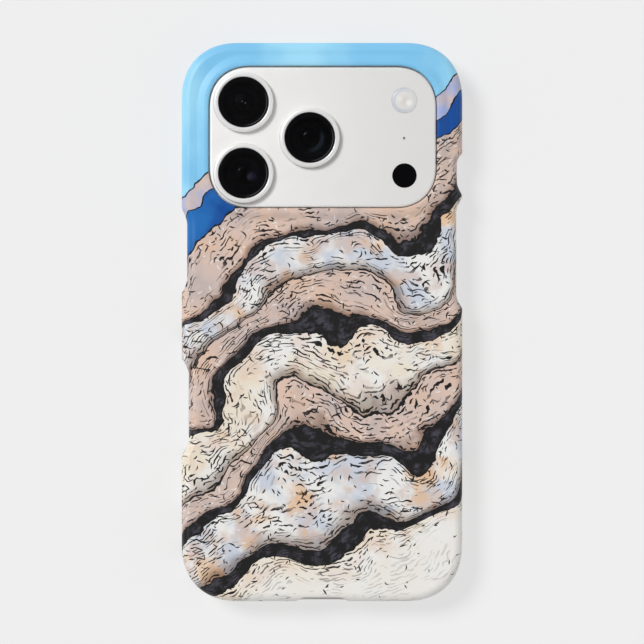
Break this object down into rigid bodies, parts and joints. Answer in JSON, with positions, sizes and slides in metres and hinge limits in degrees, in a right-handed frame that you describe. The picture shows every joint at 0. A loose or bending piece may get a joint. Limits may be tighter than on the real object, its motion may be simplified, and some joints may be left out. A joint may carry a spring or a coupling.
{
  "type": "phone in a protective case",
  "caption": "Slim mobile phone lying face down in a printed hard case with a raised lip round its silver camera plateau, side dips at the push buttons and a charging port below.",
  "frame": {"origin": "middle of the rectangle on which the case's front rim rests, level with that rim", "axes": "+X across the phone, to the right as seen from its back; +Y along the phone towards its camera end; +Z out of the printed back, straight up as it lies face down"},
  "size_m": [0.076, 0.1516, 0.0137],
  "materials": {
    "printed_case": "printed satin polycarbonate",
    "silver_body": "fine bead blasted",
    "silver_glass": "frosted, opaque",
    "screen_glass": "polished over a dark display",
    "lens_ring": "polished",
    "lens_glass": "polished, dark",
    "lens_barrel": "matt black",
    "inner_lens": "coated",
    "flash_diffuser": "frosted",
    "flash_led": "phosphor",
    "sensor_glass": "polished, dark",
    "button_metal": "satin",
    "port_steel": "satin",
    "port_plastic": "matt black"
  },
  "bodies": {
    "phone": {"case": "printed_case", "phone_body": "silver_body", "back_glass": "silver_glass", "screen_glass": "screen_glass", "wide_ring": "lens_ring", "ultrawide_ring": "lens_ring", "tele_ring": "lens_ring", "wide_cover_glass": "lens_glass", "ultrawide_cover_glass": "lens_glass", "tele_cover_glass": "lens_glass", "wide_barrel": "lens_barrel", "ultrawide_barrel": "lens_barrel", "tele_barrel": "lens_barrel", "wide_lens": "inner_lens", "ultrawide_lens": "inner_lens", "tele_lens": "inner_lens", "flash_diffuser": "flash_diffuser", "flash_led": "flash_led", "depth_sensor_window": "sensor_glass", "port_liner": "port_steel", "port_tongue": "port_plastic", "port_screw_left": "port_steel", "port_screw_right": "port_steel"},
    "side_key": {"side_button": "button_metal"},
    "camera_key": {"camera_button": "button_metal"},
    "action_key": {"action_button": "button_metal"},
    "volume_up_key": {"volume_up_button": "button_metal"},
    "volume_down_key": {"volume_down_button": "button_metal"}
  },
  "joints": [
    {"name": "side_press", "type": "slide", "parent": "phone", "child": "side_key", "axis": [1, 0, 0], "range_m": [0, 0.00025], "stiffness_N_per_m": 2000, "springref_m": -0.0005},
    {"name": "camera_press", "type": "slide", "parent": "phone", "child": "camera_key", "axis": [1, 0, 0], "range_m": [0, 0.00025], "stiffness_N_per_m": 2000, "springref_m": -0.0005},
    {"name": "action_press", "type": "slide", "parent": "phone", "child": "action_key", "axis": [-1, 0, 0], "range_m": [0, 0.00025], "stiffness_N_per_m": 2000, "springref_m": -0.0005},
    {"name": "volume_up_press", "type": "slide", "parent": "phone", "child": "volume_up_key", "axis": [-1, 0, 0], "range_m": [0, 0.00025], "stiffness_N_per_m": 2000, "springref_m": -0.0005},
    {"name": "volume_down_press", "type": "slide", "parent": "phone", "child": "volume_down_key", "axis": [-1, 0, 0], "range_m": [0, 0.00025], "stiffness_N_per_m": 2000, "springref_m": -0.0005}
  ]
}
